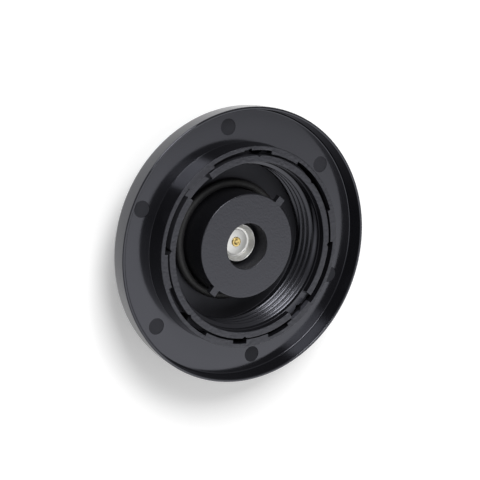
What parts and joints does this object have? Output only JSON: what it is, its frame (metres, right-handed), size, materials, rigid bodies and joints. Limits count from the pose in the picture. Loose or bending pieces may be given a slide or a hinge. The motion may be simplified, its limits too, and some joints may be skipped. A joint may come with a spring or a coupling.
{
  "type": "expansion tank cap",
  "caption": "Round screw cap for a coolant expansion tank: wide flanged lid, threaded inner ring and a central plug with pressure and vacuum valves.",
  "frame": {"origin": "centre of the crown's flat face, which the cap lies on", "axes": "+Z along the screw axis from the crown to the open side"},
  "size_m": [0.105, 0.105, 0.0282],
  "materials": {
    "black_polyamide": "satin moulded",
    "seal_rubber": "matt",
    "plated_steel": "satin plated",
    "brass": "turned",
    "spring_steel": "drawn wire"
  },
  "bodies": {
    "lid": {"lid": "black_polyamide"},
    "inner": {"threaded_ring": "black_polyamide", "valve_housing": "black_polyamide", "neck_seal": "seal_rubber", "spring_cover": "plated_steel", "pressure_spring": "spring_steel"},
    "pressure_valve": {"pressure_plate": "plated_steel", "pressure_seal": "seal_rubber", "vacuum_spring": "spring_steel"},
    "vacuum_valve": {"vacuum_dish": "plated_steel", "vacuum_rivet": "brass", "vacuum_clip": "plated_steel"}
  },
  "joints": [
    {"name": "ratchet_turn", "type": "hinge", "parent": "lid", "child": "inner", "pos_m": [0, 0, 0.0097], "axis": [0, 0, 1], "continuous": true},
    {"name": "pressure_lift", "type": "slide", "parent": "inner", "child": "pressure_valve", "axis": [0, 0, -1], "range_m": [0, 0.002], "stiffness_N_per_m": 5000, "deforming": ["pressure_spring"]},
    {"name": "vacuum_lift", "type": "slide", "parent": "pressure_valve", "child": "vacuum_valve", "axis": [0, 0, 1], "range_m": [0, 0.0012], "stiffness_N_per_m": 400, "deforming": ["vacuum_spring"]}
  ]
}
